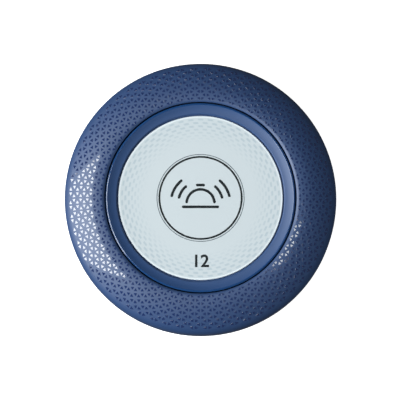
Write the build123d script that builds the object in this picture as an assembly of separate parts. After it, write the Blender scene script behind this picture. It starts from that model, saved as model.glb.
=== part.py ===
from build123d import *

import os
from math import cos, radians, sin

# Waiter call button: a round table-top bell push with a textured housing ring, a dished press
# cap with a printed label, and the radio transmitter inside.
# Millimetres, +Z up, origin on the table under the middle of the puck, +Y towards the twelve
# o'clock side of the label. A level is a height above the table.

# ---- Overall sizes ----------------------------------------------------------------------------
PUCK_RADIUS = 44.0
PUCK_HEIGHT = 22.0
FOOT_PROUD = 0.8  # the feet hold the base this far above the table

# ---- Fits -------------------------------------------------------------------------------------
CAP_GAP = 0.4  # shadow gap between the press cap and the housing ring
RUN_GAP = 0.2  # round the battery door, light pipe and other moving or loose fits
PLUNGER_GAP = 0.05  # running fit of the switch plunger
FACE_GAP = 0.05  # between faces that slide or stop on each other
SNUG_GAP = 0.02  # round screws and other held parts

# ---- Housing ring (top shell) -------------------------------------------------------------------
SHELL_WALL = 2.0
PARTING_LEVEL = 4.5  # the ring's lower edge
CROWN_INSET = 1.0  # the crown stands this far outside the opening
CROWN_ROUND = 11.9  # outer side of the crown
SLOPE_START = 17.0  # degrees; the fall where the crown's round ends
SLOPE_END = 42.0  # degrees; the fall where the shoulder's round begins
SHOULDER_ROUND = 4.8  # turns the slope into the vertical side
LIP_DROP = 0.5  # from the crown down to the opening's edge
LIP_ROUND = 0.25
DECK_DEPTH = 7.4  # from the crown down to the deck under the cap
DECK_THICKNESS = 1.8
RIB_START = 22.5  # degrees; the ribs stand clear of screws and feet
RING_RIB_THICKNESS = 1.2
RING_RIB_COUNT = 8

# ---- Press cap ----------------------------------------------------------------------------------
CAP_RADIUS = 30.6
CAP_TRAVEL = 0.8
CAP_BELOW_CROWN = 0.6  # the ridge of the cap's rim is this far below the crown
RIM_WIDTH = 0.5  # bevel between the ridge and the cap's side
RIM_FALL = 0.28  # the bevel falls this far
RIDGE_ROUND = 0.25
RIM_ROUND = 0.2  # bevel to side
DISH_FALL = 1.05  # the dish slopes down this far from the ridge to the label step
DISH_SAG = 0.17
DISH_WIDTH = 2.75  # from the ridge to the label step
LABEL_THICKNESS = 0.55
LABEL_CHAMFER = 0.15
LABEL_GAP = 0.5  # round the label in its recess
LABEL_DROP = 0.6  # from the dish's inner edge down to the label
LABEL_STEP = 0.3  # chamfer between the label's recess and the dish
CAP_PLATE = 1.6
CAP_SKIRT = 1.6
CAP_RIB_THICKNESS = 1.2
CAP_RIB_DEPTH = 1.2
CAP_RIB_COUNT = 6
POST_RADIUS = 2.2  # presses the switch

# ---- Snap hooks that hold the cap ---------------------------------------------------------------
HOOK_INSET = 4.5  # from the skirt's inside to the middle of a hook
HOOK_THICKNESS = 1.6
HOOK_WIDTH = 5.0
HOOK_BARB = 1.2
HOOK_BARB_DEPTH = 1.35
HOOK_BARB_EDGE = 0.5  # flat edge of the barb
HOOK_SLOT_CLEAR = 0.7
HOOK_FLEX = 1.2  # room to bend the hook inwards when the cap is snapped in
HOOK_ANGLES = (90, 210, 330)

# ---- Return springs -----------------------------------------------------------------------------
SPRING_ORBIT = 13.0
SPRING_RADIUS = 2.5  # to the middle of the wire
SPRING_WIRE = 0.5
SPRING_TURNS = 5
SPRING_ANGLES = (30, 150, 270)
POCKET_CLEAR = 0.4
POCKET_WALL = 0.9
POCKET_FLOOR = 1.0
SPRING_PIN_LENGTH = 1.8

# ---- Light pipe and lamp ------------------------------------------------------------------------
LIGHT_INSET = 5.5  # from the hook beside it in to the middle of the light pipe
LIGHT_PIPE_RADIUS = 2.0
LIGHT_PIPE_HEAD = 2.6
LIGHT_PIPE_HEAD_DEPTH = 0.8
LED_LENGTH = 3.5
LED_WIDTH = 2.8
LED_HEIGHT = 1.7
LED_LENS_RADIUS = 1.1
LED_LENS_PROUD = 0.1
LED_CLEARANCE = 0.3  # what stays between lamp and pipe with the cap pressed

# ---- Base shell ---------------------------------------------------------------------------------
BASE_FLOOR = 2.0
BASE_STEP_IN = 0.6  # the base is this much smaller than the ring
BASE_BEVEL = 2.4
BASE_BEVEL_ROUND = 2.0  # underside to bevel
BASE_RIM_ROUND = 0.8  # bevel to side
TONGUE_WALL = 1.6  # locates the base in the ring
TONGUE_RISE = 3.0
GASKET_THICKNESS = 0.5
GASKET_WIDTH = 1.1
BASE_RIB_HEIGHT = 1.0
BASE_RIB_THICKNESS = 1.2
BASE_RIB_COUNT = 8

# ---- Case screws, feet --------------------------------------------------------------------------
CASE_SCREW_ANGLES = (45, 135, 225, 315)
CASE_SCREW_RADIUS = 1.45
CASE_SCREW_GRIP = 8.0  # length in the ring's boss
CASE_HEAD_RADIUS = 2.7
CASE_HEAD_HEIGHT = 1.8
CASE_HEAD_RECESS = 2.6  # from the underside up to the head's seat
TOWER_WALL = 1.2
TOWER_SEAT = 1.8
BOSS_WALL = 2.4
FOOT_RADIUS = 4.8
FOOT_GAP = 0.1  # round each foot in its recess
FOOT_MARGIN = 0.2  # flat left between a foot and the base's rounded edge
FOOT_RECESS = 0.8
FOOT_ROUND = 0.5
FOOT_ANGLES = (0, 90, 180, 270)

# ---- Battery and its door -----------------------------------------------------------------------
CELL_RADIUS = 12.25
CELL_HEIGHT = 5.0
CELL_CAN_STEP = 1.3  # the negative cap is this much smaller in radius
CELL_CAN_HEIGHT = 0.6
CELL_LOWER_ROUND = 0.5
CELL_UPPER_ROUND = 0.3
WELL_CLEAR = 0.35
DOOR_PLATE = 1.4
DOOR_PAD = 0.8
DOOR_GASKET = 0.55
NECK_WALL = 1.2
LEDGE_THICKNESS = 1.0
LUG_HEIGHT = 1.2
LUG_REACH = 1.5
LUG_SPAN = 24  # degrees
LUG_COUNT = 3
LUG_PLAY = 1.5  # degrees to the stops
DOOR_TURN = 40  # degrees from locked to open
DOOR_OVERLAP = 0.6  # the flange covers the lug notches this far
TURRET_WALL = 1.2
COIN_SLOT_LENGTH = 20.0
COIN_SLOT_WIDTH = 2.2
COIN_SLOT_DEPTH = 1.1
DOOR_MARK_RADIUS = 0.7
DOOR_MARK_DEPTH = 0.3

# ---- Circuit board and its parts ----------------------------------------------------------------
BOARD_RADIUS = 26.0
BOARD_THICKNESS = 1.2
CONTACT_ROOM = 0.8  # between the cell and the board
BOARD_SCREW_ORBIT = 22.0
BOARD_SCREW_ANGLES = (30, 150, 270)
BOARD_SCREW_RADIUS = 1.1
BOARD_SCREW_GRIP = 3.6
BOARD_HEAD_RADIUS = 2.0
BOARD_HEAD_HEIGHT = 1.3
STANDOFF_RADIUS = 3.0
PROP_RADIUS = 2.0  # posts of the base under the board
PROP_ANGLES = (90, 210, 330)
SWITCH_SIDE = 6.2
SWITCH_BODY = 3.1
SWITCH_FRAME = 0.4  # steel cover on the switch body
SWITCH_CORNER = 0.4
TERMINAL_WIDTH = 0.7
TERMINAL_STRIP = 0.25
TERMINAL_REACH = 1.4  # out along the board and up the body's side
SWITCH_WINDOW = 5.3  # clear radius of the deck's hole round the switch
PLUNGER_RADIUS = 1.75
PLUNGER_FLANGE = 0.45
PLUNGER_FLANGE_HEIGHT = 0.5
PLUNGER_PROUD = 0.8  # above the steel cover
PLUNGER_ROUND = 0.2
PLUNGER_TRAVEL = 0.3
POST_GAP = CAP_TRAVEL - PLUNGER_TRAVEL + FACE_GAP  # the cap meets the plunger at its full travel
DOME_THICKNESS = 0.15
CONTACT_STRIP = 0.2
POSITIVE_WIDTH = 4.0
POSITIVE_FOOT = 4.5
NEGATIVE_WIDTH = 5.0
NEGATIVE_HALF = 4.0  # half the length of its soldered foot
NEGATIVE_TOE = 1.0  # flat that touches the cell, each way
CHIP_LIFT = 0.1  # under a moulded chip
CHIP_CHAMFER = 0.15
LEAD_THICKNESS = 0.15
LEAD_FOOT = 1.0
LEAD_SHARE = 0.35  # lead width over lead pitch
CONTROLLER_INSET = 7.3  # from the hooks' orbit in to the middle of the chip
CONTROLLER_OFFSET = -4.6  # along Y
CONTROLLER_SIZE = (9.9, 3.9, 1.7)
CONTROLLER_LEADS = 8  # on each side
CONTROLLER_PITCH = 1.27
RADIO_PLACE = (14.0, -2.2)
RADIO_SIZE = (3.0, 3.0, 1.1)
RADIO_LEADS = 4
RADIO_PITCH = 0.65
CRYSTAL_PLACE = (20.2, -3.0)
CRYSTAL_SIZE = (3.2, 5.0, 1.1)
CRYSTAL_ROUND = 0.5
SMALL_PART_LENGTH = 2.0
SMALL_PART_WIDTH = 1.25
SMALL_PART_PITCH = 2.4
CAPACITOR_HEIGHT = 1.2
CAPACITOR_COLUMN = (9.0, -12.7)  # the first of a column that runs towards +Y
CAPACITOR_COUNT = 4
RESISTOR_HEIGHT = 0.5
RADIO_RESISTORS = (13.6, -11.4)  # the first of its column
RADIO_RESISTOR_COUNT = 3
CONTROLLER_RESISTORS = (8.2, -3.8)  # the first of its column, from the middle of the chip
CONTROLLER_RESISTOR_COUNT = 2
ANTENNA_RADIUS = 2.0
ANTENNA_WIRE = 0.6
ANTENNA_TURNS = 9
ANTENNA_LENGTH = 12.0

# ---- Levels worked out from the sizes above -----------------------------------------------------
BASE_LEVEL = FOOT_PROUD
FLOOR_LEVEL = BASE_LEVEL + BASE_FLOOR
FLANGE_LEVEL = PARTING_LEVEL - GASKET_THICKNESS
PLATE_LEVEL = BASE_LEVEL + DOOR_PLATE
LEDGE_LEVEL = PLATE_LEVEL + DOOR_GASKET + FACE_GAP
LEDGE_TOP = LEDGE_LEVEL + LEDGE_THICKNESS
LUG_LEVEL = LEDGE_TOP + 2 * FACE_GAP
LUG_TOP = LUG_LEVEL + LUG_HEIGHT
LUG_ROOM_TOP = LUG_TOP + RUN_GAP
TURRET_TOP = LUG_ROOM_TOP + TURRET_WALL
CELL_LEVEL = PLATE_LEVEL + DOOR_PAD + 2 * FACE_GAP
CELL_TOP = CELL_LEVEL + CELL_HEIGHT
BOARD_LEVEL = CELL_TOP + CONTACT_ROOM
BOARD_TOP = BOARD_LEVEL + BOARD_THICKNESS
CELL_WELL_TOP = BOARD_LEVEL - RUN_GAP
DECK_TOP = PUCK_HEIGHT - DECK_DEPTH
DECK_LEVEL = DECK_TOP - DECK_THICKNESS
RIM_LEVEL = PUCK_HEIGHT - CAP_BELOW_CROWN
STEP_TOP = RIM_LEVEL - DISH_FALL
LABEL_TOP = STEP_TOP - LABEL_DROP
LABEL_SEAT = LABEL_TOP - LABEL_THICKNESS
CAP_UNDERSIDE = LABEL_SEAT - CAP_PLATE
SKIRT_LEVEL = DECK_TOP + CAP_TRAVEL + FACE_GAP
SWITCH_TOP = BOARD_TOP + SWITCH_BODY
FRAME_TOP = SWITCH_TOP + SWITCH_FRAME
PLUNGER_TOP = FRAME_TOP + PLUNGER_PROUD
POST_LEVEL = PLUNGER_TOP + POST_GAP
POCKET_LEVEL = BOARD_TOP + CAP_TRAVEL
SPRING_SEAT = POCKET_LEVEL + POCKET_FLOOR

# ---- Radii worked out from the sizes above ------------------------------------------------------
OPENING_RADIUS = CAP_RADIUS + CAP_GAP
CROWN_RADIUS = OPENING_RADIUS + CROWN_INSET
TUBE_RADIUS = OPENING_RADIUS + SHELL_WALL
SIDE_INSIDE = PUCK_RADIUS - SHELL_WALL
BASE_RADIUS = PUCK_RADIUS - BASE_STEP_IN
TONGUE_RADIUS = SIDE_INSIDE - RUN_GAP
TONGUE_INSIDE = TONGUE_RADIUS - TONGUE_WALL
RIDGE_RADIUS = CAP_RADIUS - RIM_WIDTH
STEP_RADIUS = RIDGE_RADIUS - DISH_WIDTH
RECESS_RADIUS = STEP_RADIUS - LABEL_STEP
LABEL_RADIUS = RECESS_RADIUS - LABEL_GAP
HOOK_ORBIT = CAP_RADIUS - CAP_SKIRT - HOOK_INSET
LIGHT_ORBIT = HOOK_ORBIT - LIGHT_INSET
CONTROLLER_PLACE = (CONTROLLER_INSET - HOOK_ORBIT, CONTROLLER_OFFSET)
WELL_RADIUS = CELL_RADIUS + WELL_CLEAR
NECK_RADIUS = WELL_RADIUS + NECK_WALL
LEDGE_RADIUS = NECK_RADIUS + RUN_GAP
LUG_RADIUS = NECK_RADIUS + LUG_REACH
LUG_ROOM_RADIUS = LUG_RADIUS + RUN_GAP
DOOR_RADIUS = LUG_ROOM_RADIUS + DOOR_OVERLAP
DOOR_HOLE_RADIUS = DOOR_RADIUS + RUN_GAP
TURRET_RADIUS = DOOR_HOLE_RADIUS + TURRET_WALL
TOWER_RADIUS = CASE_HEAD_RADIUS + RUN_GAP + TOWER_WALL
TOWER_TOP = BASE_LEVEL + CASE_HEAD_RECESS + TOWER_SEAT
PIN_RADIUS = SPRING_RADIUS - SPRING_WIRE / 2 - POCKET_CLEAR
BOSS_RADIUS = CASE_SCREW_RADIUS + BOSS_WALL
CASE_SCREW_ORBIT = TONGUE_INSIDE - RUN_GAP - BOSS_RADIUS
FOOT_ORBIT = BASE_RADIUS - BASE_BEVEL - FOOT_MARGIN - FOOT_RADIUS
POCKET_RADIUS = SPRING_RADIUS + SPRING_WIRE / 2 + POCKET_CLEAR
LIGHT_HOLE_RADIUS = LIGHT_PIPE_RADIUS + 2 * RUN_GAP
SCREW_DRIVE_REACH = 1.1  # the cross recess over the head's radius
SCREW_DRIVE_WIDTH = 0.25
SCREW_HEAD_ROUND = 0.55  # over the head's height
SCREW_TIP_SHARE = 0.2

UP = (Align.CENTER, Align.CENTER, Align.MIN)


# ---- Shapes used again and again ----------------------------------------------------------------
def disc(radius, low, high):
    """A round plate or rod on the Z axis between two levels."""
    return Pos(0, 0, low) * Cylinder(radius, high - low, align=UP)


def ring(outer, inner, low, high):
    """A tube on the Z axis between two levels."""
    return disc(outer, low, high) - disc(inner, low - 1, high + 1)


def block(length, width, low, high):
    """A box centred on the Z axis between two levels."""
    return Pos(0, 0, low) * Box(length, width, high - low, align=UP)


def around(angles, orbit, shape):
    """Copies of a shape, each turned with its place on a circle about Z."""
    return [Rot(0, 0, angle) * Pos(orbit, 0, 0) * shape for angle in angles]


def even_angles(count, first=0):
    """Equal steps of a full turn."""
    return [first + step * 360 / count for step in range(count)]


def turned(outline, rounds=()):
    """A solid of revolution from (radius, level) corners; rounds lists (corner, radius) pairs."""
    face = make_face(Polyline(*outline, close=True))
    for corner, radius in rounds:
        face = fillet(face.vertices().sort_by_distance(corner)[0], radius)
    return revolve(Plane.XZ * face, Axis.Z)


def sector(outer, inner, low, high, middle, span):
    """A piece of a tube, span degrees wide about the middle angle."""
    reach = 2 * outer
    half = radians(span / 2)
    wedge = Polyline(
        (0, 0), (reach * cos(half), -reach * sin(half)), (reach * cos(half), reach * sin(half)), close=True
    )
    slab = Pos(0, 0, low) * extrude(make_face(wedge), high - low)
    return Rot(0, 0, middle) * slab & ring(outer, inner, low, high)


def coil(radius, wire, turns, length):
    """An open coil of wire along Z, from its lowest wire surface at 0 to its highest at length."""
    rise = length - wire
    path = Helix(pitch=rise / turns, height=rise, radius=radius)
    section = Plane(origin=path @ 0, z_dir=path % 0) * Circle(wire / 2)
    return Pos(0, 0, wire / 2) * sweep(section, path=path, is_frenet=True)


def pan_screw(shank, grip, head, head_height):
    """A self-tapping screw that stands head down: the head's seat is at 0 and the tip points up."""
    bar = Box(head * SCREW_DRIVE_REACH, head * SCREW_DRIVE_WIDTH, head_height)
    drive = bar + Rot(0, 0, 90) * bar
    top = disc(head, -head_height, 0)
    top = fillet(top.edges().sort_by(Axis.Z)[0], head_height * SCREW_HEAD_ROUND)
    shaft = disc(shank, 0, grip - shank)
    tip = Pos(0, 0, grip - shank) * Cone(shank, shank * SCREW_TIP_SHARE, shank, align=UP)
    return top + shaft + tip - Pos(0, 0, -head_height) * drive


# ---- Housing ------------------------------------------------------------------------------------
def along(point, distance, fall):
    """A point of the ring's section moved along the normal of a slope that falls by an angle."""
    return (point[0] + distance * sin(radians(fall)), point[1] + distance * cos(radians(fall)))


def ring_body(inset):
    """The ring's full outer form down to the parting line, drawn in by the inset."""
    side = PUCK_RADIUS - inset
    crown = PUCK_HEIGHT - inset
    start_share = sin(radians(SLOPE_START))
    end_share = sin(radians(SLOPE_END))
    rounds_reach = CROWN_ROUND * start_share + SHOULDER_ROUND * (1 - end_share)
    slope_round = (PUCK_RADIUS - CROWN_RADIUS - rounds_reach) / (end_share - start_share)
    crown_centre = (CROWN_RADIUS, PUCK_HEIGHT - CROWN_ROUND)
    slope_centre = along(crown_centre, CROWN_ROUND - slope_round, SLOPE_START)
    shoulder_centre = along(slope_centre, slope_round - SHOULDER_ROUND, SLOPE_END)
    slope_top = along(slope_centre, slope_round - inset, SLOPE_START)
    slope_foot = along(slope_centre, slope_round - inset, SLOPE_END)
    crown_middle = along(crown_centre, CROWN_ROUND - inset, SLOPE_START / 2)
    slope_middle = along(slope_centre, slope_round - inset, (SLOPE_START + SLOPE_END) / 2)
    shoulder_middle = along(shoulder_centre, SHOULDER_ROUND - inset, (SLOPE_END + 90) / 2)
    with BuildSketch() as outline:
        with BuildLine():
            Line((0, PARTING_LEVEL), (side, PARTING_LEVEL))
            Line((side, PARTING_LEVEL), (side, shoulder_centre[1]))
            ThreePointArc((side, shoulder_centre[1]), shoulder_middle, slope_foot)
            ThreePointArc(slope_foot, slope_middle, slope_top)
            ThreePointArc(slope_top, crown_middle, (CROWN_RADIUS, crown))
            Line((CROWN_RADIUS, crown), (0, crown))
            Line((0, crown), (0, PARTING_LEVEL))
        make_face()
    return revolve(Plane.XZ * outline.sketch, Axis.Z)


def lip_cutter():
    """What is cut from the crown inwards: the fall to the opening's edge, and the well."""
    edge = PUCK_HEIGHT - LIP_DROP
    above = PUCK_HEIGHT + 1
    with BuildSketch() as outline:
        with BuildLine():
            Line((0, DECK_TOP), (OPENING_RADIUS, DECK_TOP))
            Line((OPENING_RADIUS, DECK_TOP), (OPENING_RADIUS, edge))
            TangentArc((CROWN_RADIUS, PUCK_HEIGHT), (OPENING_RADIUS, edge), tangent=(-1, 0))
            Line((CROWN_RADIUS, PUCK_HEIGHT), (CROWN_RADIUS, above))
            Line((CROWN_RADIUS, above), (0, above))
            Line((0, above), (0, DECK_TOP))
        make_face()
        corner = outline.vertices().sort_by_distance((OPENING_RADIUS, edge))[0]
        fillet(corner, LIP_ROUND)
    return revolve(Plane.XZ * outline.sketch, Axis.Z)


def hook_slots():
    """Openings in the deck for the cap's hooks; a thinned ledge stays over each barb."""
    inside = HOOK_THICKNESS / 2 + HOOK_FLEX
    outside = HOOK_THICKNESS / 2 + HOOK_BARB + HOOK_SLOT_CLEAR
    width = HOOK_WIDTH + 2 * HOOK_SLOT_CLEAR
    slot = Pos((outside - inside) / 2, 0, 0) * block(inside + outside, width, DECK_LEVEL - 1, DECK_TOP + 1)
    ledge_start = HOOK_THICKNESS / 2 + RUN_GAP
    ledge = Pos(ledge_start + outside, 0, 0) * block(
        2 * outside, width, DECK_LEVEL, DECK_LEVEL + DECK_THICKNESS / 2
    )
    return around(HOOK_ANGLES, HOOK_ORBIT, slot - ledge)


def screw_holes(angles, orbit, radius, end):
    """Blind holes from below for snug screws that end at a level."""
    return around(angles, orbit, disc(radius + SNUG_GAP, 0, end + RUN_GAP))


def make_top_shell():
    hollow = ring_body(SHELL_WALL) - disc(TUBE_RADIUS, 0, PUCK_HEIGHT)
    shell = ring_body(0) - hollow - lip_cutter()
    shell -= disc(TUBE_RADIUS, 0, DECK_LEVEL)
    rib = block(SIDE_INSIDE - TUBE_RADIUS + SHELL_WALL, RING_RIB_THICKNESS, DECK_LEVEL, PUCK_HEIGHT)
    for piece in around(even_angles(RING_RIB_COUNT, RIB_START), (TUBE_RADIUS + SIDE_INSIDE) / 2, rib):
        shell += piece & hollow
    boss = disc(BOSS_RADIUS, TOWER_TOP, PUCK_HEIGHT)
    for piece in around(CASE_SCREW_ANGLES, CASE_SCREW_ORBIT, boss):
        shell += piece & hollow
    standoff = disc(STANDOFF_RADIUS, BOARD_TOP, DECK_LEVEL)
    for piece in around(BOARD_SCREW_ANGLES, BOARD_SCREW_ORBIT, standoff):
        shell += piece
    cup = disc(POCKET_RADIUS + POCKET_WALL, POCKET_LEVEL, DECK_TOP)
    for piece in around(SPRING_ANGLES, SPRING_ORBIT, cup):
        shell += piece
    pocket = disc(POCKET_RADIUS, SPRING_SEAT, PUCK_HEIGHT)
    for piece in around(SPRING_ANGLES, SPRING_ORBIT, pocket):
        shell -= piece
    case_end = TOWER_TOP + CASE_SCREW_GRIP
    board_end = BOARD_LEVEL + BOARD_SCREW_GRIP
    holes = screw_holes(CASE_SCREW_ANGLES, CASE_SCREW_ORBIT, CASE_SCREW_RADIUS, case_end)
    holes += screw_holes(BOARD_SCREW_ANGLES, BOARD_SCREW_ORBIT, BOARD_SCREW_RADIUS, board_end)
    holes += hook_slots()
    holes.append(disc(SWITCH_WINDOW, 0, PUCK_HEIGHT))
    holes.append(Pos(0, LIGHT_ORBIT, 0) * disc(LIGHT_HOLE_RADIUS, 0, PUCK_HEIGHT))
    for hole in holes:
        shell -= hole
    return shell


def base_tray():
    """The base's turned form: floor, bevelled edge, flange and locating tongue."""
    bevel_start = (BASE_RADIUS - BASE_BEVEL, BASE_LEVEL)
    bevel_end = (BASE_RADIUS, BASE_LEVEL + BASE_BEVEL)
    outline = [
        (0, BASE_LEVEL),
        bevel_start,
        bevel_end,
        (BASE_RADIUS, FLANGE_LEVEL),
        (TONGUE_RADIUS, FLANGE_LEVEL),
        (TONGUE_RADIUS, FLANGE_LEVEL + TONGUE_RISE),
        (TONGUE_INSIDE, FLANGE_LEVEL + TONGUE_RISE),
        (TONGUE_INSIDE, FLOOR_LEVEL),
        (0, FLOOR_LEVEL),
    ]
    return turned(outline, [(bevel_start, BASE_BEVEL_ROUND), (bevel_end, BASE_RIM_ROUND)])


def door_mouth():
    """What is cut from the base for the cell, the door's flange, and its lugs' rooms and notches."""
    mouth = disc(WELL_RADIUS, 0, PUCK_HEIGHT)
    mouth += disc(LEDGE_RADIUS, 0, LUG_ROOM_TOP)
    mouth += disc(DOOR_HOLE_RADIUS, 0, LEDGE_LEVEL)
    notch_span = LUG_SPAN + 2 * LUG_PLAY
    for locked in even_angles(LUG_COUNT):
        opened = locked - DOOR_TURN
        middle = (locked + opened) / 2
        mouth += sector(LUG_ROOM_RADIUS, WELL_RADIUS, LEDGE_TOP, LUG_ROOM_TOP, middle, notch_span + DOOR_TURN)
        mouth += sector(LUG_ROOM_RADIUS, WELL_RADIUS, BASE_LEVEL, LUG_ROOM_TOP, opened, notch_span)
    return mouth


def make_base_shell():
    """Lower housing: tray, ribs, battery turret, screw towers and props for the board."""
    base = base_tray()
    rib_start = TURRET_RADIUS - TURRET_WALL / 2
    rib_end = TONGUE_RADIUS - TONGUE_WALL / 2
    rib_foot = BASE_LEVEL + BASE_FLOOR / 2
    rib = block(rib_end - rib_start, BASE_RIB_THICKNESS, rib_foot, FLOOR_LEVEL + BASE_RIB_HEIGHT)
    for piece in around(even_angles(BASE_RIB_COUNT, RIB_START), (rib_start + rib_end) / 2, rib):
        base += piece
    base += disc(TURRET_RADIUS, BASE_LEVEL, TURRET_TOP)
    base += disc(WELL_RADIUS + TURRET_WALL, BASE_LEVEL, CELL_WELL_TOP)
    tower = disc(TOWER_RADIUS, BASE_LEVEL, TOWER_TOP)
    for piece in around(CASE_SCREW_ANGLES, CASE_SCREW_ORBIT, tower):
        base += piece & disc(TONGUE_RADIUS, 0, PUCK_HEIGHT)
    prop = disc(PROP_RADIUS, BASE_LEVEL, BOARD_LEVEL)
    for piece in around(PROP_ANGLES, BOARD_SCREW_ORBIT, prop):
        base += piece
    head_hole = disc(CASE_HEAD_RADIUS + RUN_GAP, 0, BASE_LEVEL + CASE_HEAD_RECESS)
    shank_hole = disc(CASE_SCREW_RADIUS + RUN_GAP, 0, PUCK_HEIGHT)
    for hole in around(CASE_SCREW_ANGLES, CASE_SCREW_ORBIT, head_hole + shank_hole):
        base -= hole
    recess = disc(FOOT_RADIUS + FOOT_GAP, 0, BASE_LEVEL + FOOT_RECESS)
    for piece in around(FOOT_ANGLES, FOOT_ORBIT, recess):
        base -= piece
    contact_slot = Pos(-WELL_RADIUS, 0, 0) * block(
        4 * TURRET_WALL, POSITIVE_WIDTH + 2 * RUN_GAP, TURRET_TOP, PUCK_HEIGHT
    )
    return base - door_mouth() - contact_slot


def make_case_gasket():
    return ring(TONGUE_RADIUS + GASKET_WIDTH, TONGUE_RADIUS + SNUG_GAP, FLANGE_LEVEL, PARTING_LEVEL)


def make_rubber_feet():
    foot = Cylinder(FOOT_RADIUS, FOOT_PROUD + FOOT_RECESS, align=UP)
    foot = fillet(foot.edges().sort_by(Axis.Z)[0], FOOT_ROUND)
    return around(FOOT_ANGLES, FOOT_ORBIT, foot)


def make_case_screws():
    grip = TOWER_SEAT + CASE_SCREW_GRIP
    screw = pan_screw(CASE_SCREW_RADIUS, grip, CASE_HEAD_RADIUS, CASE_HEAD_HEIGHT)
    return around(CASE_SCREW_ANGLES, CASE_SCREW_ORBIT, Pos(0, 0, BASE_LEVEL + CASE_HEAD_RECESS) * screw)


# ---- Press cap ----------------------------------------------------------------------------------
def cap_body():
    """The cap's turned form: ridged and bevelled rim, sagging dish, label recess, plate and skirt."""
    step = (STEP_RADIUS, STEP_TOP)
    ridge = (RIDGE_RADIUS, RIM_LEVEL)
    rim = (CAP_RADIUS, RIM_LEVEL - RIM_FALL)
    dish_middle = ((RIDGE_RADIUS + STEP_RADIUS) / 2, (RIM_LEVEL + STEP_TOP) / 2 - DISH_SAG)
    skirt_inside = CAP_RADIUS - CAP_SKIRT
    with BuildSketch() as outline:
        with BuildLine():
            Polyline((0, CAP_UNDERSIDE), (0, LABEL_SEAT), (RECESS_RADIUS, LABEL_SEAT))
            Polyline((RECESS_RADIUS, LABEL_SEAT), (RECESS_RADIUS, STEP_TOP - LABEL_STEP), step)
            ThreePointArc(step, dish_middle, ridge)
            Polyline(ridge, rim, (CAP_RADIUS, SKIRT_LEVEL))
            Polyline((CAP_RADIUS, SKIRT_LEVEL), (skirt_inside, SKIRT_LEVEL), (skirt_inside, CAP_UNDERSIDE))
            Line((skirt_inside, CAP_UNDERSIDE), (0, CAP_UNDERSIDE))
        make_face()
        fillet(outline.vertices().sort_by_distance(rim)[0], RIM_ROUND)
        fillet(outline.vertices().sort_by_distance(ridge)[0], RIDGE_ROUND)
    return revolve(Plane.XZ * outline.sketch, Axis.Z)


def snap_hook():
    """One hook at the origin, its barb towards +X under the deck."""
    barb_top = DECK_LEVEL - FACE_GAP
    low = barb_top - HOOK_BARB_DEPTH
    half = HOOK_THICKNESS / 2
    outline = Polyline(
        (-half, low),
        (half, low),
        (half + HOOK_BARB, barb_top - HOOK_BARB_EDGE),
        (half + HOOK_BARB, barb_top),
        (half, barb_top),
        (half, CAP_UNDERSIDE),
        (-half, CAP_UNDERSIDE),
        close=True,
    )
    return extrude(Plane.XZ * make_face(outline), HOOK_WIDTH / 2, both=True)


def make_button_cap():
    cap = cap_body()
    rib_reach = CAP_RADIUS - CAP_SKIRT / 2
    rib = Pos(rib_reach / 2, 0, 0) * block(
        rib_reach, CAP_RIB_THICKNESS, CAP_UNDERSIDE - CAP_RIB_DEPTH, CAP_UNDERSIDE
    )
    for piece in around(even_angles(CAP_RIB_COUNT), 0, rib):
        cap += piece
    cap += disc(POST_RADIUS, POST_LEVEL, CAP_UNDERSIDE)
    for hook in around(HOOK_ANGLES, HOOK_ORBIT, snap_hook()):
        cap += hook
    pin = disc(PIN_RADIUS, CAP_UNDERSIDE - SPRING_PIN_LENGTH, CAP_UNDERSIDE)
    for piece in around(SPRING_ANGLES, SPRING_ORBIT, pin):
        cap += piece
    head_seat = LABEL_SEAT - LIGHT_PIPE_HEAD_DEPTH
    pipe_hole = disc(LIGHT_PIPE_RADIUS + SNUG_GAP, 0, PUCK_HEIGHT) + disc(
        LIGHT_PIPE_HEAD + SNUG_GAP, head_seat, PUCK_HEIGHT
    )
    return cap - Pos(0, LIGHT_ORBIT, 0) * pipe_hole


def make_face_label():
    label = disc(LABEL_RADIUS, LABEL_SEAT, LABEL_TOP)
    return chamfer(label.edges().sort_by(Axis.Z)[-1], LABEL_CHAMFER)


def make_light_pipe():
    led_top = BOARD_TOP + LED_HEIGHT
    low = led_top + LED_CLEARANCE + CAP_TRAVEL
    pipe = disc(LIGHT_PIPE_RADIUS, low, LABEL_SEAT)
    pipe += disc(LIGHT_PIPE_HEAD, LABEL_SEAT - LIGHT_PIPE_HEAD_DEPTH, LABEL_SEAT)
    return Pos(0, LIGHT_ORBIT, 0) * pipe


def make_return_springs():
    spring = coil(SPRING_RADIUS, SPRING_WIRE, SPRING_TURNS, CAP_UNDERSIDE - SPRING_SEAT)
    return around(SPRING_ANGLES, SPRING_ORBIT, Pos(0, 0, SPRING_SEAT) * spring)


# ---- Battery door and cell ----------------------------------------------------------------------
def make_battery_door():
    door = disc(DOOR_RADIUS, BASE_LEVEL, PLATE_LEVEL) + disc(NECK_RADIUS, BASE_LEVEL, LUG_TOP)
    door -= disc(WELL_RADIUS, PLATE_LEVEL + DOOR_PAD, PUCK_HEIGHT)
    for locked in even_angles(LUG_COUNT):
        door += sector(LUG_RADIUS, NECK_RADIUS - NECK_WALL / 2, LUG_LEVEL, LUG_TOP, locked, LUG_SPAN)
    slot = extrude(SlotOverall(COIN_SLOT_LENGTH, COIN_SLOT_WIDTH), COIN_SLOT_DEPTH)
    door -= Pos(0, 0, BASE_LEVEL) * slot
    mark = disc(DOOR_MARK_RADIUS, BASE_LEVEL, BASE_LEVEL + DOOR_MARK_DEPTH)
    return door - Pos(0, DOOR_RADIUS - 3 * DOOR_MARK_RADIUS, 0) * mark


def make_door_gasket():
    return ring(DOOR_RADIUS - RUN_GAP, NECK_RADIUS + SNUG_GAP, PLATE_LEVEL, PLATE_LEVEL + DOOR_GASKET)


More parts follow.
